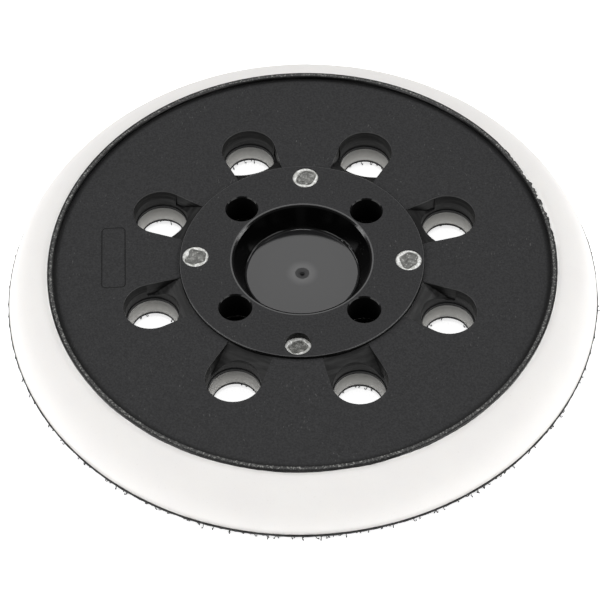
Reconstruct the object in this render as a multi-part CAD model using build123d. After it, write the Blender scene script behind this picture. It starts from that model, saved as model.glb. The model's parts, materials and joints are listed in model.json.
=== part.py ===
from build123d import *
import os
from math import radians, sqrt, tan

# Backing pad of a random-orbit sander: a moulded backing plate with a raised
# hub and eight dust ports, a polyurethane foam cushion cast onto its underside,
# and a hook sheet bonded to the foam. Millimetres. +Z is the axis of rotation
# and points at the machine; the tips of the hooks stand on z = 0.

# ---- overall -------------------------------------------------------------
PAD_DIAMETER = 125.0
HOOK_HEIGHT = 1.1            # hook tips to the underside of the woven sheet
SHEET_THICKNESS = 0.45       # woven nylon base of the hook sheet
FILM_THICKNESS = 0.15        # hot-melt film between sheet and foam
CUSHION_HEIGHT = 8.3         # bonded face up to the foam shoulder beside the rim
SHOULDER_BULGE = 2.0         # how far the flank arc stands proud of its chord

# ---- backing plate -------------------------------------------------------
FLANK_RUN = 8.95             # foam standing out past the rim at its foot
RIM_WIDTH = 1.25
RIM_SHOW = 0.7               # rim wall left standing above the foam shoulder
RIM_LIP = 0.9                # rim top above the plate's face
PLATE_THICKNESS = 2.8
EDGE_ROUND = 0.15            # broken edge on rim and hub

# ---- hub -----------------------------------------------------------------
HUB_RISE = 0.75              # hub face above the plate's face
HUB_LAND = 3.67              # hub face left outside the screw holes
RECESS_RADIUS = 14.5         # mouth of the centre recess
RECESS_DEPTH = 5.05
RECESS_DRAFT = 2.3           # how much smaller the floor's radius is
RECESS_FILLET = 0.8
RECESS_MOUTH_ROUND = 0.35
CUP_WALL = 1.8               # wall and floor of the moulded cup
GATE_RADIUS = 1.5            # dimple round the injection point
GATE_DEPTH = 0.22
GATE_NUB_RADIUS = 0.35
GATE_NUB_HEIGHT = 0.3

# ---- screw holes ---------------------------------------------------------
SCREW_COUNT = 4
SCREW_WEB = 1.03             # hub face left between the recess and a screw hole
SCREW_ANGLE = 45.0
SCREW_RADIUS = 3.3
SCREW_SEAT_DEPTH = 5.4       # hub face down to the face a screw head pulls on
SCREW_MOUTH_CHAMFER = 0.25
SCREW_HEAD_RADIUS = 4.4      # counterbore for the screw's head, from below
SCREW_BOSS_WALL = 1.3
SCREW_BOSS_FOOT = 0.3        # foam left under the end of a screw boss
ACCESS_CLEARANCE = 0.1       # foam and sheet holes, over the counterbore

# ---- foam keys -----------------------------------------------------------
KEY_COUNT = 4
KEY_LAND = 0.63              # hub face left outside a keying hole
KEY_ANGLE = 0.0
KEY_RADIUS = 2.75
KEY_RECESS = 0.2             # how far the foam stops below the hub face
LOW_KEY_RECESS = 0.55        # the same at the last key, which filled less

# ---- dust ports ----------------------------------------------------------
PORT_COUNT = 8
PORT_ANGLE = 22.5
PORT_RADIUS = 5.6            # straight tube through the plate
PORT_MOUTH_FLARE = 0.3       # drafted mouth, wider than the tube at the plate's face
PORT_MOUTH_DEPTH = 2.2
PORT_STEP = 0.2              # small step left by the core pin
PORT_STEP_HEIGHT = 0.7
PORT_WALL = 1.4
PORT_TUBE_LENGTH = 2.3       # tube below the plate's underside
POCKET_REACH = 7.5           # hub's edge to the middle of a port
POCKET_HALF_WIDTH = 5.0      # at the hub
POCKET_SLOPE = 32.0          # degrees, ramp falling from hub to port
POCKET_DEPTH = 3.6
FOAM_PORT_LEDGE = 0.25       # foam standing inside the end of the tube
FOAM_PORT_DRAFT = 0.55       # how much narrower the foam's hole is at the bottom
SHEET_PORT_LEDGE = 0.05      # hook sheet standing inside the foam's hole

# ---- blank mark panel ----------------------------------------------------
MARK_EDGE = 9.9              # panel's outer side to the rim
MARK_ANGLE = 180.0
MARK_LENGTH = 16.4
MARK_WIDTH = 5.2
MARK_TILT = 5.0
MARK_LINE = 0.28
MARK_GROOVE = 0.06

# ---- places worked out from the sizes above ------------------------------
pad_radius = PAD_DIAMETER / 2
rim_outer_radius = pad_radius - FLANK_RUN
rim_inner_radius = rim_outer_radius - RIM_WIDTH
sheet_z = HOOK_HEIGHT
film_z = sheet_z + SHEET_THICKNESS
foam_z = film_z + FILM_THICKNESS
shoulder_z = foam_z + CUSHION_HEIGHT
rim_z = shoulder_z + RIM_SHOW
plate_z = rim_z - RIM_LIP
plate_under_z = plate_z - PLATE_THICKNESS
hub_z = plate_z + HUB_RISE
recess_floor_z = hub_z - RECESS_DEPTH
cup_under_z = recess_floor_z - CUP_WALL
seat_z = hub_z - SCREW_SEAT_DEPTH
boss_end_z = foam_z + SCREW_BOSS_FOOT
tube_end_z = plate_under_z - PORT_TUBE_LENGTH
recess_floor_radius = RECESS_RADIUS - RECESS_DRAFT
screw_radial = RECESS_RADIUS + SCREW_WEB + SCREW_RADIUS
hub_radius = screw_radial + SCREW_RADIUS + HUB_LAND
key_radial = hub_radius - KEY_LAND - KEY_RADIUS
port_radial = hub_radius + POCKET_REACH
screw_boss_radius = SCREW_HEAD_RADIUS + SCREW_BOSS_WALL
access_radius = SCREW_HEAD_RADIUS + ACCESS_CLEARANCE
port_mouth_radius = PORT_RADIUS + PORT_MOUTH_FLARE
foam_port_top_radius = PORT_RADIUS - FOAM_PORT_LEDGE
foam_port_radius = foam_port_top_radius - FOAM_PORT_DRAFT
sheet_port_radius = foam_port_radius - SHEET_PORT_LEDGE
mark_radial = rim_inner_radius - MARK_EDGE - MARK_WIDTH / 2
hub_chord = sqrt(hub_radius**2 - POCKET_HALF_WIDTH**2)   # where pocket sides meet the hub
THROUGH = 1.0                # how far a cutter runs past the face it opens


def around(shape, count, first_angle):
    """Copies of a shape spaced evenly round the axis."""
    step = 360 / count
    return [Rot(0, 0, first_angle + step * i) * shape for i in range(count)]


def rod(radius, z_low, z_high, x=0.0):
    """An upright cylinder between two heights."""
    return Pos(x, 0, z_low) * Cylinder(
        radius, z_high - z_low, align=(Align.CENTER, Align.CENTER, Align.MIN)
    )


def taper(r_low, r_high, z_low, z_high, x=0.0):
    """An upright cone between two heights."""
    return Pos(x, 0, z_low) * Cone(
        r_low, r_high, z_high - z_low, align=(Align.CENTER, Align.CENTER, Align.MIN)
    )


def spun(points):
    """A closed (radius, height) outline turned round the axis."""
    outline = make_face(Polyline(*[(r, 0, z) for r, z in points], close=True))
    return revolve(outline, Axis.Z, 360)


def plate_disc():
    """The flat web with its raised rim."""
    top = EDGE_ROUND
    return spun([
        (0, plate_under_z),
        (rim_outer_radius, plate_under_z),
        (rim_outer_radius, rim_z - top),
        (rim_outer_radius - top, rim_z),
        (rim_inner_radius + top, rim_z),
        (rim_inner_radius, rim_z - top),
        (rim_inner_radius, plate_z),
        (0, plate_z),
    ])


def hub_disc():
    """The raised face that seats on the machine, with the cup under it."""
    face = spun([
        (0, plate_under_z),
        (hub_radius, plate_under_z),
        (hub_radius, hub_z - EDGE_ROUND),
        (hub_radius - EDGE_ROUND, hub_z),
        (0, hub_z),
    ])
    cup = taper(
        recess_floor_radius + CUP_WALL, RECESS_RADIUS + CUP_WALL, cup_under_z, plate_under_z
    )
    return face + cup


def recess():
    """The centre recess: a drafted wall, rounded mouth and filleted floor."""
    bowl = taper(recess_floor_radius, RECESS_RADIUS, recess_floor_z, hub_z)
    bowl = fillet(bowl.edges().sort_by(Axis.Z)[0], RECESS_FILLET)
    mouth = spun([
        (0, hub_z - RECESS_MOUTH_ROUND),
        (RECESS_RADIUS - RECESS_MOUTH_ROUND / 2, hub_z - RECESS_MOUTH_ROUND),
        (RECESS_RADIUS + RECESS_MOUTH_ROUND, hub_z),
        (RECESS_RADIUS + RECESS_MOUTH_ROUND, hub_z + THROUGH),
        (0, hub_z + THROUGH),
    ])
    return bowl + mouth


def gate_mark():
    """The dimple where the moulding was filled, and the small nub left in it."""
    bottom_z = recess_floor_z - GATE_DEPTH
    dimple = taper(GATE_NUB_RADIUS * 2, GATE_RADIUS, bottom_z, recess_floor_z)
    nub = rod(GATE_NUB_RADIUS, bottom_z, bottom_z + GATE_NUB_HEIGHT)
    return dimple, nub


def port_boss():
    """The tube round one dust port, widened under the pocket's ramp."""
    tube = rod(PORT_RADIUS + PORT_WALL, tube_end_z, plate_under_z, port_radial)
    length = port_radial - hub_chord
    block = Pos(hub_chord, 0, tube_end_z) * Box(
        length,
        2 * (POCKET_HALF_WIDTH + PORT_WALL),
        plate_under_z - tube_end_z,
        align=(Align.MIN, Align.CENTER, Align.MIN),
    )
    return tube + block


def pocket():
    """The funnel from the hub's edge into one dust port."""
    reach = port_radial - hub_chord
    away = sqrt(reach**2 + POCKET_HALF_WIDTH**2)
    # a side of the pocket leaves the hub's corner and just touches the port's mouth
    run = sqrt(away**2 - port_mouth_radius**2)
    toward = Vector(reach, -POCKET_HALF_WIDTH).normalized()
    swing = run / away
    side = port_mouth_radius / away
    touch = Vector(
        hub_chord + run * (toward.X * swing - toward.Y * side),
        POCKET_HALF_WIDTH + run * (toward.X * side + toward.Y * swing),
    )
    plan = make_face(Polyline(
        (hub_chord, -POCKET_HALF_WIDTH),
        (touch.X, -touch.Y),
        (touch.X, touch.Y),
        (hub_chord, POCKET_HALF_WIDTH),
        close=True,
    ))
    well = Pos(0, 0, plate_z - POCKET_DEPTH) * extrude(plan, POCKET_DEPTH + THROUGH)
    fall = tan(radians(POCKET_SLOPE))
    ramp_end = hub_chord + POCKET_DEPTH / fall
    ramp = make_face(Polyline(
        (hub_chord, 0, plate_z),
        (ramp_end, 0, plate_z - POCKET_DEPTH),
        (hub_chord, 0, plate_z - POCKET_DEPTH),
        close=True,
    ))
    under_ramp = extrude(ramp, 2 * port_mouth_radius, both=True)
    return well - under_ramp


def port_cutter():
    """The bore of one dust port through the plate and its tube."""
    step_z = tube_end_z + PORT_STEP_HEIGHT
    mouth_z = plate_z - PORT_MOUTH_DEPTH
    bore = rod(PORT_RADIUS, step_z, mouth_z, port_radial)
    mouth = taper(PORT_RADIUS, port_mouth_radius, mouth_z, plate_z, port_radial)
    above = rod(port_mouth_radius, plate_z, plate_z + THROUGH, port_radial)
    step = rod(PORT_RADIUS - PORT_STEP, tube_end_z - THROUGH, step_z, port_radial)
    return bore + mouth + above + step


def screw_cutter():
    """One screw hole, with the counterbore for the head from below."""
    x = screw_radial
    mouth_radius = SCREW_RADIUS + SCREW_MOUTH_CHAMFER
    hole = rod(SCREW_RADIUS, seat_z, hub_z + THROUGH, x)
    mouth = taper(SCREW_RADIUS, mouth_radius, hub_z - SCREW_MOUTH_CHAMFER, hub_z, x)
    head = rod(SCREW_HEAD_RADIUS, boss_end_z - THROUGH, seat_z, x)
    return hole + mouth + head


def mark_panel():
    """The outline of a blank panel, a shallow groove in the plate's face."""
    outer = RectangleRounded(MARK_WIDTH, MARK_LENGTH, MARK_WIDTH / 5)
    inner = RectangleRounded(
        MARK_WIDTH - 2 * MARK_LINE, MARK_LENGTH - 2 * MARK_LINE, MARK_WIDTH / 5 - MARK_LINE
    )
    groove = extrude(outer - inner, MARK_GROOVE + THROUGH)
    place = Rot(0, 0, MARK_ANGLE) * Pos(mark_radial, 0, plate_z - MARK_GROOVE)
    return place * Rot(0, 0, MARK_TILT) * groove


def backing_plate():
    """The glass-filled nylon moulding, in one piece."""
    body = plate_disc()
    body += around(port_boss(), PORT_COUNT, PORT_ANGLE)
    body -= around(pocket(), PORT_COUNT, PORT_ANGLE)
    body += hub_disc()
    boss = rod(screw_boss_radius, boss_end_z, plate_under_z, screw_radial)
    body += around(boss, SCREW_COUNT, SCREW_ANGLE)
    body -= recess()
    dimple, nub = gate_mark()
    body -= dimple
    body += nub
    body -= around(port_cutter(), PORT_COUNT, PORT_ANGLE)
    body -= around(screw_cutter(), SCREW_COUNT, SCREW_ANGLE)
    key_hole = rod(KEY_RADIUS, plate_under_z - THROUGH, hub_z + THROUGH, key_radial)
    body -= around(key_hole, KEY_COUNT, KEY_ANGLE)
    return body - mark_panel()


def foam_key(number):
    """One plug of the foam that rose through a keying hole as the cushion was cast."""
    last = number == KEY_COUNT - 1
    top_z = hub_z - (LOW_KEY_RECESS if last else KEY_RECESS)
    key = rod(KEY_RADIUS, plate_under_z, top_z, key_radial)
    return Rot(0, 0, KEY_ANGLE + number * 360 / KEY_COUNT) * key


def flank_middle():
    """The point halfway along the flank's arc, proud of its chord."""
    run = pad_radius - rim_outer_radius
    chord = sqrt(run**2 + CUSHION_HEIGHT**2)
    return (
        (pad_radius + rim_outer_radius) / 2 + SHOULDER_BULGE * CUSHION_HEIGHT / chord,
        (foam_z + shoulder_z) / 2 + SHOULDER_BULGE * run / chord,
    )


def foam_cushion():
    """The foam under and round the plate, with the holes that pass through it."""
    mid_r, mid_z = flank_middle()
    shoulder = (rim_outer_radius, 0, shoulder_z)
    edge = (pad_radius, 0, foam_z)
    outline = [
        Line((0, 0, foam_z), edge),
        ThreePointArc(edge, (mid_r, 0, mid_z), shoulder),
        Line(shoulder, (rim_outer_radius, 0, plate_under_z)),
        Line((rim_outer_radius, 0, plate_under_z), (0, 0, plate_under_z)),
        Line((0, 0, plate_under_z), (0, 0, foam_z)),
    ]
    body = revolve(make_face(Curve() + outline), Axis.Z, 360)
    cup = taper(
        recess_floor_radius + CUP_WALL, RECESS_RADIUS + CUP_WALL, cup_under_z, plate_under_z
    )
    body -= cup
    body -= around(port_boss(), PORT_COUNT, PORT_ANGLE)
    boss = rod(screw_boss_radius, boss_end_z, plate_under_z, screw_radial)
    body -= around(boss, SCREW_COUNT, SCREW_ANGLE)
    port = taper(
        foam_port_radius, foam_port_top_radius, foam_z, tube_end_z, port_radial
    )
    body -= around(port, PORT_COUNT, PORT_ANGLE)
    access = rod(access_radius, foam_z, boss_end_z, screw_radial)
    body -= around(access, SCREW_COUNT, SCREW_ANGLE)
    return body


def flat_layer(z_low, z_high, radius, port_radius):
    """One thin layer of the bonded face, with the same holes as the foam."""
    body = rod(radius, z_low, z_high)
    port = rod(port_radius, z_low - THROUGH, z_high + THROUGH, port_radial)
    access = rod(access_radius, z_low - THROUGH, z_high + THROUGH, screw_radial)
    body -= around(port, PORT_COUNT, PORT_ANGLE)
    body -= around(access, SCREW_COUNT, SCREW_ANGLE)
    return body


os.makedirs("parts", exist_ok=True)
pieces = {
    "backing_plate": backing_plate(),
    "foam_cushion": foam_cushion(),
    "bonding_film": flat_layer(film_z, foam_z, pad_radius, foam_port_radius),
    "hook_sheet": flat_layer(sheet_z, film_z, pad_radius, sheet_port_radius),
    "hook_bed": flat_layer(0, sheet_z, pad_radius, sheet_port_radius),
}
for number in range(KEY_COUNT):
    pieces[f"foam_key_{number + 1}"] = foam_key(number)
for name, piece in pieces.items():
    export_step(piece, f"parts/{name}.step")
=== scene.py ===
import json
from math import cos, exp, pi, radians, sin, tau

import bmesh
import bpy
from bpy.props import FloatProperty, FloatVectorProperty, IntProperty, PointerProperty
from mathutils import Matrix, Vector, noise


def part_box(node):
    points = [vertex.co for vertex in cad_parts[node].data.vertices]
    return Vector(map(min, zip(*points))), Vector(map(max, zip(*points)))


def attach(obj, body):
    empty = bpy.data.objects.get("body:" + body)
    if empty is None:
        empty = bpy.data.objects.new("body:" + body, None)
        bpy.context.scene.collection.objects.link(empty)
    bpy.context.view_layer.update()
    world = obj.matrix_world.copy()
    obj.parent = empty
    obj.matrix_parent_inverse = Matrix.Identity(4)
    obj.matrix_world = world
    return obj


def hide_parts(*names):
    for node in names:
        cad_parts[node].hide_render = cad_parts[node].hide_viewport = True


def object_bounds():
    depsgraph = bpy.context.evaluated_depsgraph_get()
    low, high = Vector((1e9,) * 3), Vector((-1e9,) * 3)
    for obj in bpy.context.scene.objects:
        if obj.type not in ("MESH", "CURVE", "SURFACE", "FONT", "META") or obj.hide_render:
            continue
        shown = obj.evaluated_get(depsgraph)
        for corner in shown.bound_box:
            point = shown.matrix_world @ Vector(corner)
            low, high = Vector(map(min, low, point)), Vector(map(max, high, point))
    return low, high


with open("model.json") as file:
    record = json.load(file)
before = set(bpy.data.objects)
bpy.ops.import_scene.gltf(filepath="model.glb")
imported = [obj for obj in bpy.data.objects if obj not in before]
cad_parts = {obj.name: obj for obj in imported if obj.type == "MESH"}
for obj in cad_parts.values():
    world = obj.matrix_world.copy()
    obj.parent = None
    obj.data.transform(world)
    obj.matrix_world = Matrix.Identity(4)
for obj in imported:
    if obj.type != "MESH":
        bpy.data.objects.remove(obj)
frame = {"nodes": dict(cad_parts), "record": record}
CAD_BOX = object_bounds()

bl_info = {
    "name": "Sander backing pad",
    "version": (1, 0, 0),
    "blender": (4, 5, 0),
    "location": "3D View > Sidebar > Backing pad",
    "description": "Finishes the moulded plate and makes the cast foam, the foam keys and the hook face",
    "category": "Object",
}

MM = 0.001

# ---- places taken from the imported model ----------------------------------
FOAM_LOW, FOAM_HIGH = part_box("foam_cushion")
PLATE_LOW, PLATE_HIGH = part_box("backing_plate")
SHEET_LOW, SHEET_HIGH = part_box("hook_sheet")
PAD_RADIUS = FOAM_HIGH.x
RIM_RADIUS = PLATE_HIGH.x
RIM_TOP = PLATE_HIGH.z
KEYS = [f"foam_key_{number}" for number in range(1, 5)]


def opening_centres(kind):
    """Where the record says that the openings of one kind are."""
    boxes = [
        opening["box_m"]
        for opening in frame["record"]["physics"]["openings"]
        if opening["name"].startswith(kind)
    ]
    return [((low[0] + high[0]) / 2, (low[1] + high[1]) / 2) for low, high in boxes]


PORTS = opening_centres("dust_port")
SCREW_HOLES = opening_centres("screw_hole")

# ---- sizes of the moulding that the materials and soft pieces follow ------
PORT_HOLE = 4.75 * MM          # hole in the hook sheet under a dust port
ACCESS_HOLE = 4.5 * MM         # hole in the hook sheet under a screw
RECESS_MOUTH = 15.2 * MM
RECESS_LOWEST = 5.2 * MM       # just under the dimple in the recess's floor
RECESS_FLOOR_TOP = 5.62 * MM   # just over the floor of the centre recess
HUB_LEVEL = 10.5 * MM          # just under the hub's face
HUB_RADIUS = 25.8 * MM
PLATE_LEVEL = 9.8 * MM
RIM_INNER = 52.3 * MM
FOAM_BORES = 52.0 * MM         # the cored holes in the foam are all nearer the axis than this
GATE_RADIUS = 1.5 * MM
GATE_HALO = 3.8 * MM           # reach of the pale painted reflection round the injection point
HARD_EDGE = 0.002 * MM         # rise of a mask that looks like a sharp line

# ---- how the soft pieces are made ------------------------------------------
ROUND_STEPS = 1080             # points round the foam's flank
FLANK_STEPS = 26               # rows up the foam's flank
FLANK_BULGE = 2.0 * MM
SHEET_STEPS = 720              # points round the sheet's edge
SHEET_OVERHANG = 0.18 * MM     # how far the sheet stands out past the foam
SHEET_FRAY = 0.10 * MM         # unevenness of the sheet's cut edge
HOLE_STEPS = 72                # points round a hole in the sheet
KEY_STEPS = 72                 # points round a key
KEY_ROWS = 22                  # rings of points from a key's wall to its middle
KEY_CROWN = 0.12 * MM          # height of the rounded ring round a key
KEY_LUMPS = 0.10 * MM          # height of the lumps in its sunk middle
HOOK_DROP = 0.88               # a hook's height as a share of the space under the sheet
HOOK_STRAY = 0.28              # how far a hook strays from its place, as a share of the pitch
EDGE_INSET = 0.2               # how far in the edge row stands, as a share of the pitch

# each stretch of loose flash: its share of the full lap, its middle and its half-width in degrees
FLASH_STRETCHES = ((1.0, 22, 13), (0.08, 243, 7), (0.1, 292, 8))

# ---- the studio -----------------------------------------------------------
FLOOR_HALF = 12.0              # metres, so that the table's edge is never seen
FLOOR_GLOW = 0.75
FLOOR_SHADOW_RADIUS = 25.0 * MM         # the table is painted near black and gives no light nearer the axis than this, as a painted shadow under the pad's middle

VIEW_TURN = radians(3.326)     # round the pad from its front
VIEW_RISE = radians(52.147)    # above the table
VIEW_LEAN = radians(-1.68)
VIEW_TARGET = Vector((-0.434, -3.792, 1.1)) * MM
VIEW_DISTANCE = 471.04 * MM
SENSOR_WIDTH = 36.0            # these two are in millimetres, as Blender takes them
FOCAL_LENGTH = 133.04

# each light: its place in metres, its width and height, and its power in watts
PAIRED_LIGHTS = {
    "spark": ((0.73, 0.26, 0.63), 0.42, 0.16, 2.0),
    "front": ((0.68, -0.49, 0.54), 0.5, 0.5, 2.2),
    "low": ((0.90, -0.10, 0.30), 0.5, 0.3, 1.3),
}
SINGLE_LIGHTS = {
    "panel_behind": ((-0.03, 0.61, 0.79), 0.30, 0.24, 0.9),
    "lamp_above": ((0.0, -0.10, 1.0), 0.24, 0.10, 1.5),
}
SURROUND = 0.2

# ---- node sockets ---------------------------------------------------------
NOISE = ("Vector", "Scale", "Detail", "Roughness")
RISE = ("Value", "From Min", "From Max")
MIX = {"RGBA": (6, 7, 2), "FLOAT": (2, 3, 0)}   # what is under, what is over, and the result


def linear(code):
    """An sRGB hex colour as the linear values that a shader takes."""
    parts = [int(code[i:i + 2], 16) / 255 for i in (1, 3, 5)]
    return tuple(p / 12.92 if p <= 0.04045 else ((p + 0.055) / 1.055) ** 2.4 for p in parts)


def rgba(colour):
    """A colour with full alpha, for a socket. It may be given as a hex colour."""
    return (*(linear(colour) if isinstance(colour, str) else colour), 1.0)


def length(name, description, default):
    """A length that a user may change."""
    return FloatProperty(
        name=name, description=description, default=default, min=0.0, subtype="DISTANCE", unit="LENGTH"
    )


def colour(name, description, code):
    """A colour that a user may change."""
    return FloatVectorProperty(
        name=name, description=description, default=linear(code), size=3, min=0, max=1, subtype="COLOR"
    )


class PadSizes(bpy.types.PropertyGroup):
    """Sizes of the soft pieces that a user would change."""

    bead: length("Bead", "How far the foam creeps up the rim's outer wall", 0.3 * MM)
    flash: length("Flash", "How far loose foam flash laps over the rim", 1.0 * MM)
    flank_wave: length("Flank wave", "Unevenness of the foam's moulded flank", 0.05 * MM)
    key_ring: length("Key ring", "Width of the bright ring round a foam key", 0.72 * MM)
    key_dip: length("Key dip", "How far the middle of a foam key has sunk", 0.3 * MM)
    key_slump: length("Key slump", "How far one side of the last foam key has slumped", 1.1 * MM)
    hook_pitch: length("Hook pitch", "Distance between two hooks", 1.15 * MM)
    edge_pitch: length("Edge pitch", "Distance between the hooks along the cut edge", 1.6 * MM)
    hook_thickness: length("Hook thickness", "Diameter of a hook's nylon line", 0.22 * MM)
    seed: IntProperty(name="Seed", description="Changes the scatter of hooks and flash", default=4)


class PadColours(bpy.types.PropertyGroup):
    """Colours of the pieces."""

    plate: colour("Plate", "Glass-filled nylon", "#343435")
    recess: colour("Recess floor", "The smooth floor of the recess", "#202021")
    foam: colour("Foam", "Polyurethane foam", "#F3F1EE")
    # the grey of the key's sunk middle is painted shade
    key: colour("Key", "The sunk middle of a foam key", "#5C5C59")
    film: colour("Film", "Hot-melt film", "#4A4741")
    hooks: colour("Hooks", "Nylon hooks and their woven base", "#161617")
    floor: colour("Floor", "Studio floor", "#FFFFFF")


# ---- node helpers ---------------------------------------------------------
def add_node(tree, kind, inputs=None, **settings):
    """A node with its settings. An input is a value, an output, or a node for its first output."""
    node = tree.nodes.new(kind)
    for name, value in settings.items():
        setattr(node, name, value)
    for name, value in (inputs or {}).items():
        if isinstance(value, bpy.types.Node):
            value = value.outputs[0]
        if isinstance(value, bpy.types.NodeSocket):
            tree.links.new(value, node.inputs[name])
        else:
            node.inputs[name].default_value = value
    return node


def add_nodes(tree, kind, inputs, rows, **settings):
    """Nodes of one kind by name. Each row holds one node's values for the same inputs."""
    return {name: add_node(tree, kind, dict(zip(inputs, row)), **settings) for name, row in rows.items()}


def product(tree, *values):
    """The values multiplied. Of masks that is where all are on, and a number weakens them."""
    whole = values[0]
    for value in values[1:]:
        whole = add_node(tree, "ShaderNodeMath", {0: whole, 1: value}, operation="MULTIPLY")
    return whole


def coated(tree, base, *coats, data_type="RGBA"):
    """A base with coats over it, each where its mask is on."""
    under, over, result = MIX[data_type]
    for mask, coat in coats:
        mix = add_node(tree, "ShaderNodeMix", {0: mask, under: base, over: coat}, data_type=data_type)
        base = mix.outputs[result]
    return base


def places(tree):
    """The place of a surface point, its distance from the axis and its height."""
    place = add_node(tree, "ShaderNodeTexCoord").outputs["Object"]
    split = add_node(tree, "ShaderNodeSeparateXYZ", {0: place})
    flat = add_node(tree, "ShaderNodeCombineXYZ", {"X": split.outputs["X"], "Y": split.outputs["Y"]})
    radius = add_node(tree, "ShaderNodeVectorMath", {0: flat}, operation="LENGTH")
    return place, radius.outputs["Value"], split.outputs["Z"]


def new_material(name):
    """A material with an empty node tree."""
    material = bpy.data.materials.new(name)
    material.use_nodes = True
    material.node_tree.nodes.clear()
    return material, material.node_tree


def close_material(tree, shading, height=None, strength=0.0, depth=0.0):
    """Ends a material with its shader, its output and, where a height is given, its relief."""
    if height is not None:
        bump = {"Height": height, "Strength": strength, "Distance": depth}
        shading = {**shading, "Normal": add_node(tree, "ShaderNodeBump", bump)}
    shader = add_node(tree, "ShaderNodeBsdfPrincipled", shading)
    add_node(tree, "ShaderNodeOutputMaterial", {"Surface": shader})


# ---- materials ------------------------------------------------------------
def moulded_nylon(colours):
    """Black glass-filled nylon.

    Top faces are spark eroded: dull and finely speckled, with pale glass fibres
    near the surface. Cored walls and ramps are smoother, and the recess is polished.
    Steep walls and holes are painted near black as painted shade, and so are the
    panel's groove and the corner inside the rim; raised edges carry painted highlights,
    and the recess's floor a painted reflection round the mould's gate.
    """
    material, tree = new_material("glass_filled_nylon_moulded")
    place, radius, height = places(tree)
    geometry = add_node(tree, "ShaderNodeNewGeometry")
    up = add_node(tree, "ShaderNodeSeparateXYZ", {0: geometry.outputs["True Normal"]}).outputs["Z"]

    along_fibres = add_node(
        tree,
        "ShaderNodeMapping",
        {"Vector": place, "Rotation": (0.0, 0.0, radians(35)), "Scale": (1.0, 0.35, 1.0)},
    )
    round_walls = add_node(tree, "ShaderNodeMapping", {"Vector": place, "Scale": (0.1, 0.1, 1.0)})
    # each pattern: where it is read, its patches to a metre, its detail and its roughness;
    # the real grain is about 0.05 mm, and it is drawn coarser so that it shows
    patterns = {
        "grain": (place, 1 / (0.42 * MM), 3.0, 0.7),
        "blotch": (place, 1 / (5.0 * MM), 4.0, 0.65),
        "fibre": (along_fibres, 1 / (0.34 * MM), 1.0, 0.5),
        "fibre_zone": (place, 1 / (9.0 * MM), 2.0, 0.5),
        "chip": (place, 1 / (0.4 * MM), 3.0, 0.7),
        "drag": (round_walls, 1 / (0.5 * MM), 2.0, 0.5),
    }
    noises = add_nodes(tree, "ShaderNodeTexNoise", NOISE, patterns)

    # each mask: what it reads, where it is fully off and where it is fully on
    masks = {
        "flat_top": (up, 0.86, 0.97),
        "side": (up, 0.97, 0.86),
        "slope": (up, 0.5, 0.8),
        "bevel": (up, 0.9, 0.8),
        "grain": (noises["grain"], 0.3, 0.7),
        "fibre": (noises["fibre"], 0.66, 0.80),
        "fibre_zone": (noises["fibre_zone"], 0.42, 0.68),
        "chip": (noises["chip"], 0.5, 0.68),
        "drag": (noises["drag"], 0.35, 0.75),
        "over_dimple": (height, RECESS_LOWEST, RECESS_LOWEST + HARD_EDGE),
        "at_floor": (height, RECESS_FLOOR_TOP, RECESS_FLOOR_TOP - HARD_EDGE),
        "under_hub_face": (height, HUB_LEVEL, HUB_LEVEL - HARD_EDGE),
        "at_hub_face": (height, HUB_LEVEL, HUB_LEVEL + HARD_EDGE),
        "at_bevels": (height, HUB_LEVEL - 0.25 * MM, HUB_LEVEL - 0.2 * MM),
        "over_highlight_band": (height, PLATE_LEVEL - 0.3 * MM, PLATE_LEVEL - 0.3 * MM + HARD_EDGE),
        "up_to_plate": (height, PLATE_LEVEL + 0.02 * MM, PLATE_LEVEL + 0.02 * MM - HARD_EDGE),
        "under_plate": (height, PLATE_LEVEL - 0.03 * MM, PLATE_LEVEL - 0.03 * MM - HARD_EDGE),
        "gate": (radius, GATE_RADIUS * 0.65, GATE_RADIUS * 0.25),
        "gate_halo": (radius, GATE_HALO, GATE_RADIUS),
        "in_recess": (radius, RECESS_MOUTH, RECESS_MOUTH - HARD_EDGE),
        "past_mouth_edge": (radius, RECESS_MOUTH - 0.55 * MM, RECESS_MOUTH - 0.35 * MM),
        "in_mouth_edge": (radius, RECESS_MOUTH - 0.12 * MM, RECESS_MOUTH - 0.12 * MM - HARD_EDGE),
        "past_hub_edge": (radius, HUB_RADIUS - 0.3 * MM, HUB_RADIUS - 0.1 * MM),
        "in_hub_edge": (radius, HUB_RADIUS + 0.1 * MM, HUB_RADIUS + 0.1 * MM - HARD_EDGE),
        "outside_hub": (radius, HUB_RADIUS, HUB_RADIUS + 1.0 * MM),
        "rim_corner_shade": (radius, RIM_INNER - 1.3 * MM, RIM_INNER - 0.1 * MM),
        "on_rim": (radius, RIM_INNER - 0.05 * MM, RIM_INNER),
        "past_rim_edge": (radius, RIM_INNER + 0.15 * MM, RIM_INNER + 0.4 * MM),
        "in_rim_edge": (radius, RIM_INNER + 0.95 * MM, RIM_INNER + 0.7 * MM),
    }
    on = add_nodes(tree, "ShaderNodeMapRange", RISE, masks, interpolation_type="SMOOTHSTEP")

    bowl = product(tree, on["in_recess"], on["over_dimple"], on["under_hub_face"])
    not_bowl = add_node(tree, "ShaderNodeMath", {0: 1.0, 1: bowl}, operation="SUBTRACT")
    grained = product(tree, on["flat_top"], not_bowl)
    floor = product(tree, on["in_recess"], on["over_dimple"], on["at_floor"], on["flat_top"])
    outer_face = product(tree, on["flat_top"], on["outside_hub"])
    rim_lip = product(tree, on["on_rim"], on["flat_top"])
    mouth = product(tree, on["in_recess"], on["over_dimple"], on["past_mouth_edge"], on["in_mouth_edge"])
    crest = product(tree, on["past_rim_edge"], on["in_rim_edge"], rim_lip)
    chips = add_node(tree, "ShaderNodeMath", {0: crest, 1: 0.6, 2: 0.15}, operation="MULTIPLY_ADD")
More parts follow.
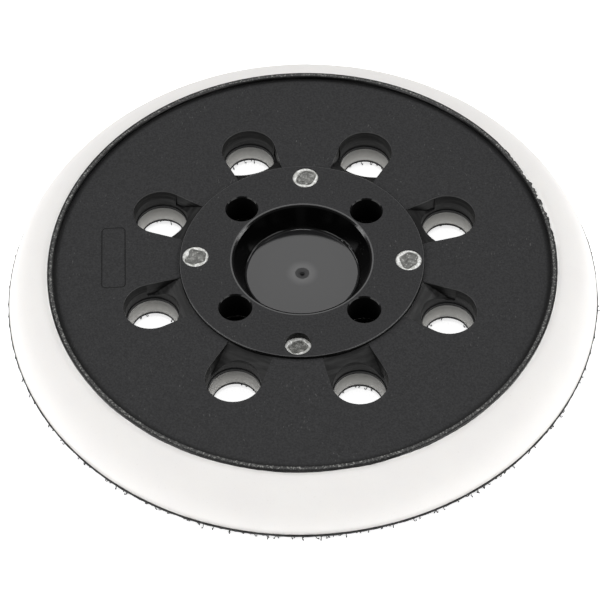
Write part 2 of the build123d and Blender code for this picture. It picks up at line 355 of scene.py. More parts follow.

    # steep walls are painted near black as painted shade; outside the hub they carry fine drag lines round
    # them from leaving the mould, ramps keep a tone near the plate's, and the pale band along the top of
    # the cored walls is a painted highlight
    ramp = coated(tree, rgba("#1C1C1C"), (on["drag"], rgba("#343434")))
    wall = coated(
        tree,
        # painted shade: the near-black colour of steep walls and holes
        rgba("#040404"),
        (product(tree, on["drag"], on["outside_hub"]), rgba("#1F1F1F")),
        (product(tree, on["slope"], on["outside_hub"]), ramp),
        # painted highlight: a pale band just under the plate's face on the cored walls
        (product(tree, on["over_highlight_band"], on["up_to_plate"], on["outside_hub"], 0.7), rgba("#5A5A5A")),
    )
    base = coated(
        tree,
        rgba("#222223"),
        (on["grain"], rgba("#363637")),
        (product(tree, noises["blotch"], 0.4), rgba(colours.plate)),
        # painted shade: walls and holes take the near-black wall colour
        (on["side"], wall),
        # painted shade: the panel's outline cut into the face is painted dark in its groove, and the corner
        # inside the rim is painted smoothly dark
        (product(tree, outer_face, on["under_plate"], 0.7), rgba("#080808")),
        (product(tree, outer_face, on["rim_corner_shade"], on["up_to_plate"], 0.8), rgba("#080808")),
        # the recess's floor, with a painted reflection round the mould's gate: a pale halo and a dark pit
        (floor, rgba(colours.recess)),
        (product(tree, floor, on["gate_halo"], 0.5), rgba("#5C5C5C")),
        (on["gate"], rgba("#141414")),
        # painted highlights make raised edges paler: the hub's rim and the mouth of the recess
        (product(tree, on["at_hub_face"], on["past_hub_edge"], on["in_hub_edge"], 0.5), rgba("#7A7A7A")),
        (product(tree, mouth, 0.5), rgba("#7A7A7A")),
        (product(tree, on["fibre"], on["fibre_zone"], grained, 0.3), rgba("#8A8A88")),
        # the rim's lip is dark, with a paler crest that is chipped nearly white
        (product(tree, rim_lip, 0.85), rgba("#121212")),
        (crest, rgba("#434343")),
        (product(tree, on["chip"], rim_lip, chips), rgba("#B4B4B0")),
    )
    roughness = coated(
        tree,
        0.5,
        (grained, 0.62),
        (bowl, 0.11),
        (product(tree, on["at_bevels"], on["bevel"]), 0.16),
        (on["gate"], 0.55),
        data_type="FLOAT",
    )
    coarseness = add_node(tree, "ShaderNodeMath", {0: grained, 1: 0.9, 2: 0.1}, operation="MULTIPLY_ADD")
    close_material(
        tree,
        {"Base Color": base, "Roughness": roughness, "IOR": 1.5, "Specular IOR Level": 0.25},
        height=product(tree, noises["grain"], coarseness),
        strength=0.35,
        depth=0.05 * MM,
    )
    return material


def foam_skin(colours):
    """Off-white polyurethane foam, moulded with a smooth matt skin.

    Faint broad clouding and very fine pores; the cut walls of the holes show
    open cells, and are painted grey as painted shade, paler near the hook face.
    """
    material, tree = new_material("polyurethane_foam_cast")
    place, radius, height = places(tree)
    patterns = {
        "cloud": (place, 1 / (7.0 * MM), 3.0, 0.5),
        "pore": (place, 1 / (0.45 * MM), 2.0, 0.6),
        "cell": (place, 1 / (0.7 * MM), 3.0, 0.7),
    }
    noises = add_nodes(tree, "ShaderNodeTexNoise", NOISE, patterns)
    masks = {
        "pore": (noises["pore"], 0.62, 0.8),
        "foot": (height, 2.9 * MM, 1.8 * MM),
        "deep": (height, 4.6 * MM, 2.0 * MM),
        "bore": (radius, FOAM_BORES, FOAM_BORES - HARD_EDGE),
    }
    on = add_nodes(tree, "ShaderNodeMapRange", RISE, masks, interpolation_type="SMOOTHSTEP")
    # the bores were cored, with open cells, under painted shade that is grey higher up and paler near the
    # hook face
    cells_and_height = {0: noises["cell"], 1: 0.5, 2: on["deep"]}
    cells_and_height = add_node(tree, "ShaderNodeMath", cells_and_height, operation="MULTIPLY_ADD")
    cells_and_lower_light = add_node(tree, "ShaderNodeMath", {0: cells_and_height, 1: 0.2}, operation="SUBTRACT", use_clamp=True)
    bore = coated(tree, rgba("#8E8D8A"), (cells_and_lower_light, rgba("#B9B8B4")))
    base = coated(
        tree,
        rgba(colours.foam),
        (product(tree, noises["cloud"], 0.5), rgba("#E9E6E6")),
        (product(tree, on["pore"], 0.12), rgba("#B9B6B0")),
        # painted shade: the flank turns greyer towards its foot, by the hook sheet
        (product(tree, on["foot"], 0.55), rgba("#C4C1BD")),
        # painted shade: the walls of the holes take the grey bore colour
        (product(tree, on["bore"], 0.92), bore),
    )
    close_material(
        tree,
        {
            "Base Color": base,
            "Roughness": 0.62,
            "IOR": 1.45,
            "Specular IOR Level": 0.35,
            "Subsurface Weight": 0.15,
            "Subsurface Radius": (1.2 * MM, 1.1 * MM, 1.0 * MM),
            "Subsurface Scale": 1.0,
        },
        height=noises["pore"],
        strength=0.18,
        depth=0.05 * MM,
    )
    return material


def key_foam(colours):
    """The foam that rose through a keying hole.

    A bright glassy skin clings to the hole's wall as a ring. The middle sank as
    the foam cured and is bubbly; its grey is painted shade in the sunk middle.
    """
    material, tree = new_material("polyurethane_foam_key_skin")
    place = add_node(tree, "ShaderNodeTexCoord").outputs["Object"]
    ring = add_node(tree, "ShaderNodeAttribute", attribute_name="ring").outputs["Fac"]
    bubbles = add_node(
        tree, "ShaderNodeTexVoronoi", {"Vector": place, "Scale": 1 / (0.75 * MM)}, feature="SMOOTH_F1"
    )
    mottle = add_node(
        tree,
        "ShaderNodeTexNoise",
        {"Vector": place, "Scale": 1 / (0.8 * MM), "Detail": 3.0, "Roughness": 0.6},
    )
    masks = {
        "grey": (mottle, 0.4, 0.75),
        "dull": (mottle, 0.35, 0.65),
        "round_bubbles": (bubbles, 0.05, 0.3),
        "ring": (ring, 0.35, 0.8),
    }
    on = add_nodes(tree, "ShaderNodeMapRange", RISE, masks, interpolation_type="SMOOTHSTEP")
    # painted shade: the sunk middle is painted grey, with paler mottle; the bubbles in it are its own
    centre = coated(tree, rgba(colours.key), (on["grey"], rgba("#8F8F8B")))
    skin = coated(tree, rgba("#FAFAF8"), (on["dull"], rgba("#BDBDB8")))
    base = coated(tree, rgba("#A8A8A4"), (on["round_bubbles"], centre), (on["ring"], skin))
    close_material(
        tree,
        {"Base Color": base, "Roughness": 0.28, "IOR": 1.5},
        height=bubbles,
        strength=0.5,
        depth=0.15 * MM,
    )
    return material


def melted_film(colours):
    """Hot-melt adhesive film: waxy, smoky and slightly uneven where it was pressed."""
    material, tree = new_material("hot_melt_film_pressed")
    place = add_node(tree, "ShaderNodeTexCoord").outputs["Object"]
    smoke = add_node(tree, "ShaderNodeTexNoise", {"Vector": place, "Scale": 1 / (1.5 * MM)})
    base = coated(tree, rgba(colours.film), (smoke, rgba("#2C2A27")))
    close_material(tree, {"Base Color": base, "Roughness": 0.4, "IOR": 1.48})
    return material


def woven_nylon(colours):
    """Black nylon tape, woven: warp and weft threads 0.5 mm apart, dull between them."""
    material, tree = new_material("nylon_tape_woven")
    place = add_node(tree, "ShaderNodeTexCoord").outputs["Object"]
    thread_spacing = 0.5 * MM
    # at a scale of 1, a wave node draws its bands tau / 20 apart
    bands = {"Vector": place, "Scale": tau / 20 / thread_spacing, "Distortion": 0.4}
    warp, weft = (
        add_node(tree, "ShaderNodeTexWave", bands, wave_type="BANDS", bands_direction=way).outputs["Fac"]
        for way in "XY"
    )
    weave = add_node(tree, "ShaderNodeMath", {0: warp, 1: weft}, operation="MAXIMUM")
    base = coated(tree, rgba("#0B0B0B"), (weave, rgba(colours.hooks)))
    close_material(
        tree,
        {"Base Color": base, "Roughness": 0.7, "IOR": 1.52},
        height=weave,
        strength=0.8,
        depth=0.12 * MM,
    )
    return material


def hook_line(colours):
    """Black nylon monofilament: smooth, with a small sharp highlight on each bend."""
    material, tree = new_material("nylon_monofilament_drawn")
    place = add_node(tree, "ShaderNodeTexCoord").outputs["Object"]
    patches = add_node(
        tree, "ShaderNodeTexNoise", {"Vector": place, "Scale": 1 / (2.5 * MM), "Detail": 1.0}
    )
    base = coated(tree, rgba("#0F0F10"), (patches, rgba(colours.hooks)))
    close_material(tree, {"Base Color": base, "Roughness": 0.3, "IOR": 1.53})
    return material


def studio_floor(colours):
    """A white acrylic table lit from below, so that it stays white under the pad.

    Under the hub the table is painted near black and gives no light, a painted shadow under the pad's
    middle, where only the dark screw holes look down.
    """
    material, tree = new_material("acrylic_table_backlit")
    place, radius, _ = places(tree)
    drift = add_node(
        tree, "ShaderNodeTexNoise", {"Vector": place, "Scale": 1 / (300 * MM), "Detail": 1.0}
    )
    beyond_painted_shadow = add_node(
        tree,
        "ShaderNodeMapRange",
        {"Value": radius, "From Min": FLOOR_SHADOW_RADIUS, "From Max": FLOOR_SHADOW_RADIUS + 1.5 * MM},
        interpolation_type="SMOOTHSTEP",
    )
    white = coated(tree, rgba(colours.floor), (drift, rgba("#FAFAFA")))
    # painted shadow: near black under the hub
    base = coated(tree, rgba("#050505"), (beyond_painted_shadow, white))
    shading = {
        "Base Color": base,
        "Roughness": 0.6,
        "IOR": 1.49,
        "Emission Color": rgba(colours.floor),
        "Emission Strength": product(tree, beyond_painted_shadow, FLOOR_GLOW),
    }
    close_material(tree, shading)
    return material


# ---- mesh helpers ---------------------------------------------------------
def wobble(angle, per_turn, seed):
    """Repeatable noise round the pad, about -1 to 1, with this many swings a turn."""
    reach = per_turn / tau
    return noise.noise(Vector((cos(angle) * reach, sin(angle) * reach, seed * 7.3)))


def round_row(bm, radius_at, height_at, steps=ROUND_STEPS):
    """A ring of vertices whose radius and height depend on the angle."""
    ring = []
    for i in range(steps):
        angle = tau * i / steps
        radius = radius_at(angle)
        ring.append(bm.verts.new((radius * cos(angle), radius * sin(angle), height_at(angle))))
    return ring


def join_rows(bm, lower, upper):
    """Faces between two rings, facing outwards where the upper ring is above."""
    count = len(lower)
    for i in range(count):
        j = (i + 1) % count
        bm.faces.new((lower[i], lower[j], upper[j], upper[i]))


def finished(bm, name, material, smooth=True):
    """An object in the scene made from the mesh."""
    mesh = bpy.data.meshes.new(name)
    bm.to_mesh(mesh)
    bm.free()
    mesh.materials.append(material)
    if smooth:
        mesh.shade_smooth()
    piece = bpy.data.objects.new(name, mesh)
    bpy.context.scene.collection.objects.link(piece)
    return piece


# ---- foam cushion ---------------------------------------------------------
def cad_copy(node):
    """The CAD node's mesh, with its loose triangles merged."""
    bm = bmesh.new()
    bm.from_mesh(frame["nodes"][node].data)
    bmesh.ops.remove_doubles(bm, verts=bm.verts, dist=0.0005 * MM)
    return bm


def flash_lap(angle, sizes):
    """How far the foam laps over the rim: mostly nothing, with ragged stretches."""
    stretches = [
        most * exp(-(((angle - radians(middle)) / radians(half_width)) ** 2))
        for most, middle, half_width in FLASH_STRETCHES
    ]
    patchy = 0.15 * max(0.0, wobble(angle, 40, sizes.seed + 3) - 0.15)
    ragged = 0.55 + 0.6 * wobble(angle, 160, sizes.seed) + 0.5 * wobble(angle, 520, sizes.seed + 1)
    return sizes.flash * max(patchy, *stretches) * max(0.0, ragged)


def cast_foam(sizes, material):
    """The cushion: the CAD solid's inside, and a finely made flank with its bead and flash."""
    bm = cad_copy("foam_cushion")
    clear = 0.01 * MM
    flank = [
        face
        for face in bm.faces
        if face.calc_center_median().xy.length > RIM_RADIUS + clear
        and face.calc_center_median().z > FOAM_LOW.z + clear
    ]
    bmesh.ops.delete(bm, geom=flank, context="FACES")
    open_edges = [edge for edge in bm.edges if edge.is_boundary]
    foot = [edge for edge in open_edges if edge.verts[0].co.z < FOAM_LOW.z + clear]
    shoulder = [edge for edge in open_edges if edge.verts[0].co.z > FOAM_HIGH.z - clear]

    run = PAD_RADIUS - RIM_RADIUS
    rise = FOAM_HIGH.z - FOAM_LOW.z
    across = Vector((rise, run)).normalized()
    rows = []
    for i in range(FLANK_STEPS):
        t = i / FLANK_STEPS
        bulge = FLANK_BULGE * 4 * t * (1 - t)
        radius = PAD_RADIUS - run * t + across.x * bulge
        height = FOAM_LOW.z + rise * t + across.y * bulge
        fade = min(1.0, 4 * t * (1 - t))

        def radius_at(angle, radius=radius, fade=fade, height=height):
            point = Vector((cos(angle) * 9, sin(angle) * 9, height / (4 * MM)))
            return radius + sizes.flank_wave * fade * noise.noise(point)

        rows.append(round_row(bm, radius_at, lambda angle, height=height: height))

    def climb(angle):
        lap = flash_lap(angle, sizes)
        if lap > 0.12 * MM:
            return RIM_TOP + 0.07 * MM
        creep = 0.55 + 0.5 * wobble(angle, 60, sizes.seed + 5) + 0.3 * wobble(angle, 300, sizes.seed + 6)
        return min(RIM_TOP - 0.05 * MM, FOAM_HIGH.z + sizes.bead * max(0.1, creep))

    def part_way(share):
        return lambda angle: FOAM_HIGH.z + (climb(angle) - FOAM_HIGH.z) * share

    bead = [
        (lambda angle: RIM_RADIUS + 0.22 * MM, part_way(0.12)),
        (lambda angle: RIM_RADIUS + 0.10 * MM, part_way(0.45)),
        (lambda angle: RIM_RADIUS + 0.06 * MM, part_way(0.9)),
        (lambda angle: RIM_RADIUS + 0.03 * MM, climb),
        (lambda angle: RIM_RADIUS - 0.6 * flash_lap(angle, sizes), lambda angle: climb(angle) + 0.02 * MM),
        (lambda angle: RIM_RADIUS - flash_lap(angle, sizes), lambda angle: climb(angle) - 0.02 * MM),
        (lambda angle: RIM_RADIUS - 0.9 * flash_lap(angle, sizes), lambda angle: climb(angle) - 0.05 * MM),
        (lambda angle: RIM_RADIUS + 0.01 * MM, lambda angle: climb(angle) - 0.05 * MM),
    ]
    rows += [round_row(bm, radius_at, height_at) for radius_at, height_at in bead]
    for lower, upper in zip(rows, rows[1:]):
        join_rows(bm, lower, upper)
    ring_edges = [
        [bm.edges.get((row[i], row[i - 1])) for i in range(len(row))] for row in (rows[0], rows[-1])
    ]
    bmesh.ops.bridge_loops(bm, edges=foot + ring_edges[0])
    bmesh.ops.bridge_loops(bm, edges=shoulder + ring_edges[1])
    bmesh.ops.recalc_face_normals(bm, faces=bm.faces)
    loose = [edge for edge in bm.edges if not edge.is_manifold]
    if loose:
        raise RuntimeError(f"the foam has {len(loose)} open or doubled edges")
    piece = finished(bm, "foam_cushion_cast", material)
    piece.data.set_sharp_from_angle(angle=radians(40))
    return piece


# ---- foam keys ------------------------------------------------------------
def fill_key(node, number, sizes, material):
    """One plug of foam with its bright ring and sunk, bubbly middle."""
    low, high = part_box(node)
    centre = (low + high) / 2
    radius = (high.x - low.x) / 2 - 0.005 * MM
    slump = sizes.key_slump if number == len(KEYS) - 1 else 0.0
    ring_blur, crown_start = 0.035, 0.08     # as shares of the radius
    bm = bmesh.new()
    ring_mark = bm.verts.layers.float.new("ring")

    def vertex(angle, share, height):
        reach = radius * share
        return bm.verts.new((centre.x + reach * cos(angle), centre.y + reach * sin(angle), height))

    turns = [tau * i / KEY_STEPS for i in range(KEY_STEPS)]
    rows = [[vertex(angle, 1.0, low.z) for angle in turns]]
    for k in range(KEY_ROWS):
        share = 1 - k / KEY_ROWS
        row = []
        for angle in turns:
            inner = 1 - sizes.key_ring / radius * (1.0 + 1.1 * wobble(angle, 7, number + 11))
            mark = 1 / (1 + exp(-(share - inner) / ring_blur))
            across_ring = (share - inner + crown_start) / (1 - inner + crown_start)
            crown = sin(pi * min(1.0, max(0.0, across_ring)))
            point = Vector((cos(angle) * share * 3, sin(angle) * share * 3, number * 5.1))
            lumps = noise.noise(point * 1.6) * 0.5 + noise.noise(point * 3.7) * 0.25
            height = high.z - sizes.key_dip * (1 - mark) * (0.6 + 0.6 * (1 - share))
            height += KEY_CROWN * crown + KEY_LUMPS * lumps * (1 - mark)
            height -= slump * (1 + share * sin(angle)) / 2
            vert = vertex(angle, share, height)
            vert[ring_mark] = mark
            row.append(vert)
        rows.append(row)
    for lower, upper in zip(rows, rows[1:]):
        join_rows(bm, lower, upper)
    middle = vertex(0.0, 0.0, sum(vert.co.z for vert in rows[-1]) / KEY_STEPS)
    for i in range(KEY_STEPS):
        bm.faces.new((rows[-1][i], rows[-1][(i + 1) % KEY_STEPS], middle))
    bm.faces.new(list(reversed(rows[0])))
    bmesh.ops.recalc_face_normals(bm, faces=bm.faces)
    piece = finished(bm, f"{node}_skin", material)
    piece.data.set_sharp_from_angle(angle=radians(50))
    return piece


# ---- hook face ------------------------------------------------------------
def woven_sheet(material):
    """The sheet the hooks are woven into, cut a little unevenly at its edge."""
    bm = bmesh.new()
    low, high = SHEET_LOW.z, SHEET_HIGH.z

    def edge_at(angle):
        return PAD_RADIUS + SHEET_OVERHANG + SHEET_FRAY * wobble(angle, 300, 21)

    rims = [round_row(bm, edge_at, lambda angle: low, SHEET_STEPS)]
    holes = [(x, y, PORT_HOLE) for x, y in PORTS] + [(x, y, ACCESS_HOLE) for x, y in SCREW_HOLES]
    turns = [tau * i / HOLE_STEPS for i in range(HOLE_STEPS)]
    for x, y, radius in holes:
        rims.append([bm.verts.new((x + radius * cos(turn), y + radius * sin(turn), low)) for turn in turns])
    edges = [bm.edges.new((ring[i - 1], ring[i])) for ring in rims for i in range(len(ring))]
    bmesh.ops.triangle_fill(bm, edges=edges, use_beauty=True, normal=(0, 0, -1))
    top = bmesh.ops.extrude_face_region(bm, geom=bm.faces[:])
    bmesh.ops.translate(
        bm,
        verts=[part for part in top["geom"] if isinstance(part, bmesh.types.BMVert)],
        vec=(0, 0, high - low),
    )
    bmesh.ops.recalc_face_normals(bm, faces=bm.faces)
    return finished(bm, "hook_sheet_woven", material, smooth=False)


def hook_tree():
    """Geometry nodes: rows of curled hooks under the sheet, one quarter at a time."""
    tree = bpy.data.node_groups.new("hooks_under_a_sheet", "GeometryNodeTree")
    tree.interface.new_socket("Geometry", in_out="INPUT", socket_type="NodeSocketGeometry")
    wanted = {
        "Pitch": "NodeSocketFloat",
        "Edge Pitch": "NodeSocketFloat",
        "Hook Height": "NodeSocketFloat",
        "Thickness": "NodeSocketFloat",
        "Pad Radius": "NodeSocketFloat",
        "Quarter X": "NodeSocketFloat",
        "Quarter Y": "NodeSocketFloat",
        "Seed": "NodeSocketInt",
        "Sheet": "NodeSocketObject",
        "Material": "NodeSocketMaterial",
    }
    for name, kind in wanted.items():
        tree.interface.new_socket(name, in_out="INPUT", socket_type=kind)
    tree.interface.new_socket("Geometry", in_out="OUTPUT", socket_type="NodeSocketGeometry")
    given = add_node(tree, "NodeGroupInput").outputs
    pitch, pad_radius = given["Pitch"], given["Pad Radius"]

    products = {
        "half": (pad_radius, 0.5),
        "stray": (pitch, HOOK_STRAY),
        "stray_back": (pitch, -HOOK_STRAY),
        "edge_inset": (pitch, EDGE_INSET),
        "edge_length": (pad_radius, tau),
        "line_radius": (given["Thickness"], 0.5),
    }
    products = {name: product(tree, value, share) for name, (value, share) in products.items()}

    # a grid of places over the quarter, each a little astray
    count = add_node(tree, "ShaderNodeMath", {0: pad_radius, 1: pitch}, operation="DIVIDE")
    grid = add_node(
        tree,
        "GeometryNodeMeshGrid",
        {"Size X": pad_radius, "Size Y": pad_radius, "Vertices X": count, "Vertices Y": count},
    )
    to_middle = {axis: product(tree, products["half"], given[f"Quarter {axis}"]) for axis in "XY"}
    to_middle = add_node(tree, "ShaderNodeCombineXYZ", to_middle)
    field = add_node(tree, "GeometryNodeSetPosition", {"Geometry": grid, "Offset": to_middle})
    low, high = (
        add_node(tree, "ShaderNodeCombineXYZ", {"X": reach, "Y": reach})
        for reach in (products["stray_back"], products["stray"])
    )
    jitter = add_node(
        tree,
        "FunctionNodeRandomValue",
        {"Min": low, "Max": high, "Seed": given["Seed"]},
        data_type="FLOAT_VECTOR",
    )

    # a closer row along the cut edge, where the weave ends
    edge_count = add_node(
        tree, "ShaderNodeMath", {0: products["edge_length"], 1: given["Edge Pitch"]}, operation="DIVIDE"
    )
    edge_radius = add_node(
        tree, "ShaderNodeMath", {0: pad_radius, 1: products["edge_inset"]}, operation="SUBTRACT"
    )
    edge = add_node(tree, "GeometryNodeMeshCircle", {"Vertices": edge_count, "Radius": edge_radius})
    both = add_node(tree, "GeometryNodeJoinGeometry")
    for row in (field, edge):
        tree.links.new(row.outputs[0], both.inputs[0])
    moved = add_node(tree, "GeometryNodeSetPosition", {"Geometry": both, "Offset": jitter})

    # keep the places that are in the quarter and have sheet over them, and lift them to it
    at = add_node(tree, "ShaderNodeSeparateXYZ", {0: add_node(tree, "GeometryNodeInputPosition")}).outputs
    target = add_node(tree, "GeometryNodeObjectInfo", {"Object": given["Sheet"]})
    cast = add_node(
        tree,
        "GeometryNodeRaycast",
        {"Target Geometry": target.outputs["Geometry"], "Ray Direction": (0, 0, 1), "Ray Length": 1.0},
    )
    dropped = add_node(
        tree, "ShaderNodeMath", {0: 1.0, 1: cast.outputs["Is Hit"]}, operation="SUBTRACT"
    )
    for axis in "XY":
        side = product(tree, at[axis], given[f"Quarter {axis}"])
        outside = add_node(tree, "ShaderNodeMath", {0: side, 1: 0.0}, operation="LESS_THAN")
        dropped = add_node(tree, "ShaderNodeMath", {0: dropped, 1: outside}, operation="MAXIMUM")
    kept = add_node(
        tree, "GeometryNodeDeleteGeometry", {"Geometry": moved, "Selection": dropped}, domain="POINT"
    )
    lifted = add_node(
        tree, "GeometryNodeSetPosition", {"Geometry": kept, "Position": cast.outputs["Hit Position"]}
    )

    # one hook: a stem that goes down and curls back up, as shares of its height across and down
    bend = {
        "Start": (0.0, 0.0),
        "Start Handle": (0.0, 1.18),
        "End Handle": (0.82, 1.18),
        "End": (0.50, 0.42),
    }
    curl = {"Resolution": 7}
    for name, (across, down) in bend.items():
        x, z = (product(tree, given["Hook Height"], share) for share in (across, -down))
        curl[name] = add_node(tree, "ShaderNodeCombineXYZ", {"X": x, "Z": z})
    line = add_node(tree, "GeometryNodeCurvePrimitiveBezierSegment", curl)
    section = add_node(
        tree, "GeometryNodeCurvePrimitiveCircle", {"Resolution": 4, "Radius": products["line_radius"]}
    )
    hook = add_node(
        tree, "GeometryNodeCurveToMesh", {"Curve": line, "Profile Curve": section, "Fill Caps": True}
    )
    turn = add_node(
        tree,
        "FunctionNodeRandomValue",
        {"Min": (-0.3, -0.3, 0.0), "Max": (0.3, 0.3, tau), "Seed": given["Seed"]},
        data_type="FLOAT_VECTOR",
    )
    size = add_node(
        tree, "FunctionNodeRandomValue", {2: 0.8, 3: 1.0, "Seed": given["Seed"]}, data_type="FLOAT"
    )
    planted = add_node(
        tree,
        "GeometryNodeInstanceOnPoints",
        {"Points": lifted, "Instance": hook, "Rotation": turn, "Scale": size.outputs[1]},
    )
    real = add_node(tree, "GeometryNodeRealizeInstances", {0: planted})
    painted = add_node(tree, "GeometryNodeSetMaterial", {"Geometry": real, "Material": given["Material"]})
    add_node(tree, "NodeGroupOutput", {0: painted})
    return tree


def socket_ids(tree):
    """Each of a node group's inputs by name, with the identifier that a modifier takes."""
    return {
        item.name: item.identifier
        for item in tree.interface.items_tree
        if item.item_type == "SOCKET" and item.in_out == "INPUT"
    }


def grow_quarter(name, tree, values):
    """One quarter of the hook bed as a plain mesh."""
    seedling = bpy.data.objects.new(f"{name}_seed", bpy.data.meshes.new(f"{name}_seed"))
    bpy.context.scene.collection.objects.link(seedling)
    modifier = seedling.modifiers.new("hooks", "NODES")
    modifier.node_group = tree
    ids = socket_ids(tree)
    for key, value in values.items():
        modifier[ids[key]] = value
    seedling.update_tag()
    bpy.context.view_layer.update()
    depsgraph = bpy.context.evaluated_depsgraph_get()
    mesh = bpy.data.meshes.new_from_object(seedling.evaluated_get(depsgraph))
    mesh.name = name
    seedling.modifiers.remove(modifier)
    bpy.data.objects.remove(seedling)
    piece = bpy.data.objects.new(name, mesh)
    bpy.context.scene.collection.objects.link(piece)
    mesh.shade_smooth()
    return piece


# ---- stage ----------------------------------------------------------------
def lay_floor(material):
    """A large flat table top just under the hooks."""
    bm = bmesh.new()
    corners = ((-1, -1), (1, -1), (1, 1), (-1, 1))
    bm.faces.new([bm.verts.new((x * FLOOR_HALF, y * FLOOR_HALF, CAD_BOX[0].z)) for x, y in corners])
    return finished(bm, "table_top", material, smooth=False)


def soft_light(name, place, width, height, power):
    """A softbox that faces the pad."""
    light = bpy.data.lights.new(name, "AREA")
    light.shape = "RECTANGLE"
    light.size = width
    light.size_y = height
    light.energy = power
    lamp = bpy.data.objects.new(name, light)
    lamp.location = place
    lamp.rotation_euler = (-Vector(place)).to_track_quat("-Z", "Y").to_euler()
    bpy.context.scene.collection.objects.link(lamp)


def light_studio():
    """Pairs of softboxes at the sides and in front, one behind, one above, and a pale surround."""
    for side, side_name in ((-1, "left"), (1, "right")):
        for name, ((x, y, z), *light) in PAIRED_LIGHTS.items():
            soft_light(f"{name}_{side_name}", (x * side, y, z), *light)
    for name, light in SINGLE_LIGHTS.items():
        soft_light(name, *light)
    world = bpy.data.worlds.new("surround")
    world.use_nodes = True
    tree = world.node_tree
    tree.nodes.clear()
    sky = add_node(tree, "ShaderNodeBackground", {"Color": rgba((1, 1, 1)), "Strength": SURROUND})
    add_node(tree, "ShaderNodeOutputWorld", {0: sky})
    bpy.context.scene.world = world
    bpy.context.scene.view_settings.view_transform = "Standard"


def set_camera():
    """A long lens, 47 cm away and 52 degrees above the table, leaning a little."""
    level = Vector((sin(VIEW_TURN), -cos(VIEW_TURN), 0)) * cos(VIEW_RISE)
    back = level + Vector((0, 0, sin(VIEW_RISE)))
    right = Vector((cos(VIEW_TURN), sin(VIEW_TURN), 0))
    up = back.cross(right)
    side = cos(VIEW_LEAN) * right + sin(VIEW_LEAN) * up
    top = cos(VIEW_LEAN) * up - sin(VIEW_LEAN) * right
    lens = bpy.data.cameras.new("camera")
    lens.sensor_width = SENSOR_WIDTH
    lens.lens = FOCAL_LENGTH
    lens.clip_start = 0.01
    camera = bpy.data.objects.new("camera", lens)
    axes = Matrix((side, top, back)).transposed().to_4x4()
    camera.matrix_world = Matrix.Translation(VIEW_TARGET + back * VIEW_DISTANCE) @ axes
    bpy.context.scene.collection.objects.link(camera)
    bpy.context.scene.camera = camera


# ---- operators ------------------------------------------------------------
def dress(node, material):
    """Gives a CAD node a material."""
    cad_object = frame["nodes"][node]
    for slot in cad_object.material_slots:
        slot.material = material
    if not cad_object.material_slots:
        cad_object.data.materials.append(material)


class PAD_OT_finish_plate(bpy.types.Operator):
    """Give the moulded plate its nylon finish"""

    bl_idname = "pad.finish_plate"
    bl_label = "Finish plate"

    def execute(self, context):
        dress("backing_plate", moulded_nylon(context.scene.pad_colours))
        return {"FINISHED"}


class PAD_OT_cast_cushion(bpy.types.Operator):
    """Cast the foam cushion round the plate"""

    bl_idname = "pad.cast_cushion"
    bl_label = "Cast cushion"

    def execute(self, context):
        piece = cast_foam(context.scene.pad_sizes, foam_skin(context.scene.pad_colours))
        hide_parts("foam_cushion")
        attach(piece, "root")
        return {"FINISHED"}


class PAD_OT_fill_keys(bpy.types.Operator):
    """Fill the four keying holes with foam"""

    bl_idname = "pad.fill_keys"
    bl_label = "Fill keys"

    def execute(self, context):
        material = key_foam(context.scene.pad_colours)
        for number, node in enumerate(KEYS):
            piece = fill_key(node, number, context.scene.pad_sizes, material)
            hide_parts(node)
            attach(piece, "root")
        return {"FINISHED"}


class PAD_OT_bond_film(bpy.types.Operator):
    """Give the adhesive film its finish"""

    bl_idname = "pad.bond_film"
    bl_label = "Bond film"

    def execute(self, context):
        dress("bonding_film", melted_film(context.scene.pad_colours))
        return {"FINISHED"}


class PAD_OT_weave_sheet(bpy.types.Operator):
    """Weave the sheet that carries the hooks"""

    bl_idname = "pad.weave_sheet"
    bl_label = "Weave sheet"

    def execute(self, context):
        piece = woven_sheet(woven_nylon(context.scene.pad_colours))
        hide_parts("hook_sheet")
        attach(piece, "root")
        return {"FINISHED"}


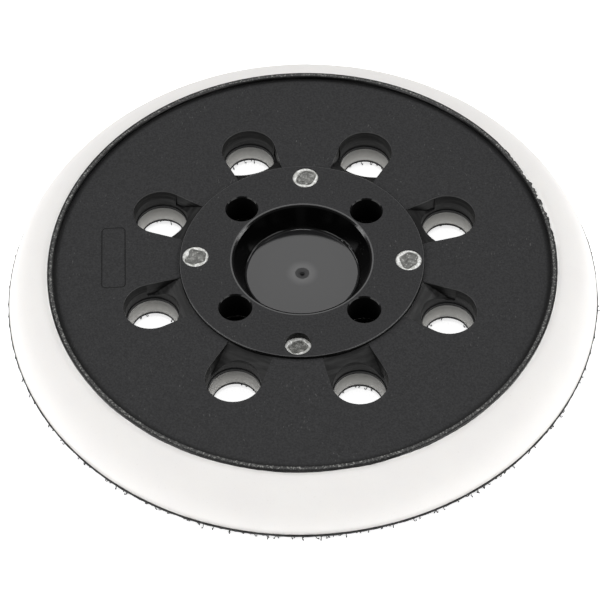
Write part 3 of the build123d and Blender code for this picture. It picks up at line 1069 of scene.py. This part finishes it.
class PAD_OT_grow_hooks(bpy.types.Operator):
    """Grow the curled hooks under the sheet"""

    bl_idname = "pad.grow_hooks"
    bl_label = "Grow hooks"

    def execute(self, context):
        sizes = context.scene.pad_sizes
        material = hook_line(context.scene.pad_colours)
        sheet = bpy.data.objects["hook_sheet_woven"]
        tree = hook_tree()
        quarters = {
            "right_back": (1, 1),
            "left_back": (-1, 1),
            "left_front": (-1, -1),
            "right_front": (1, -1),
        }
        for number, (name, (x, y)) in enumerate(quarters.items()):
            values = {
                "Pitch": sizes.hook_pitch,
                "Edge Pitch": sizes.edge_pitch,
                "Hook Height": SHEET_LOW.z * HOOK_DROP,
                "Thickness": sizes.hook_thickness,
                "Pad Radius": PAD_RADIUS,
                "Quarter X": float(x),
                "Quarter Y": float(y),
                "Seed": sizes.seed + number,
                "Sheet": sheet,
                "Material": material,
            }
            piece = grow_quarter(f"hooks_{name}", tree, values)
            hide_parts("hook_bed")
            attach(piece, "root")
        return {"FINISHED"}


class PAD_OT_set_stage(bpy.types.Operator):
    """Set up the table, the lights and the camera"""

    bl_idname = "pad.set_stage"
    bl_label = "Set stage"

    def execute(self, context):
        lay_floor(studio_floor(context.scene.pad_colours))
        light_studio()
        set_camera()
        return {"FINISHED"}


STEPS = (
    PAD_OT_finish_plate,
    PAD_OT_cast_cushion,
    PAD_OT_fill_keys,
    PAD_OT_bond_film,
    PAD_OT_weave_sheet,
    PAD_OT_grow_hooks,
    PAD_OT_set_stage,
)


class PAD_PT_sidebar(bpy.types.Panel):
    """The pad's sizes, colours and making steps"""

    bl_idname = "PAD_PT_sidebar"
    bl_label = "Backing pad"
    bl_space_type = "VIEW_3D"
    bl_region_type = "UI"
    bl_category = "Backing pad"

    def draw(self, context):
        for group in (context.scene.pad_sizes, context.scene.pad_colours):
            box = self.layout.box()
            for name in group.bl_rna.properties.keys():
                if name not in ("rna_type", "name"):
                    box.prop(group, name)
        for maker in STEPS:
            self.layout.operator(maker.bl_idname)


CLASSES = (PadSizes, PadColours, *STEPS, PAD_PT_sidebar)


def register():
    for item in CLASSES:
        bpy.utils.register_class(item)
    bpy.types.Scene.pad_sizes = PointerProperty(type=PadSizes)
    bpy.types.Scene.pad_colours = PointerProperty(type=PadColours)


def unregister():
    del bpy.types.Scene.pad_colours
    del bpy.types.Scene.pad_sizes
    for item in reversed(CLASSES):
        bpy.utils.unregister_class(item)


def main():
    register()
    bpy.ops.pad.finish_plate()
    bpy.ops.pad.cast_cushion()
    bpy.ops.pad.fill_keys()
    bpy.ops.pad.bond_film()
    bpy.ops.pad.weave_sheet()
    bpy.ops.pad.grow_hooks()
    bpy.ops.pad.set_stage()


if __name__ == "__main__":
    main()
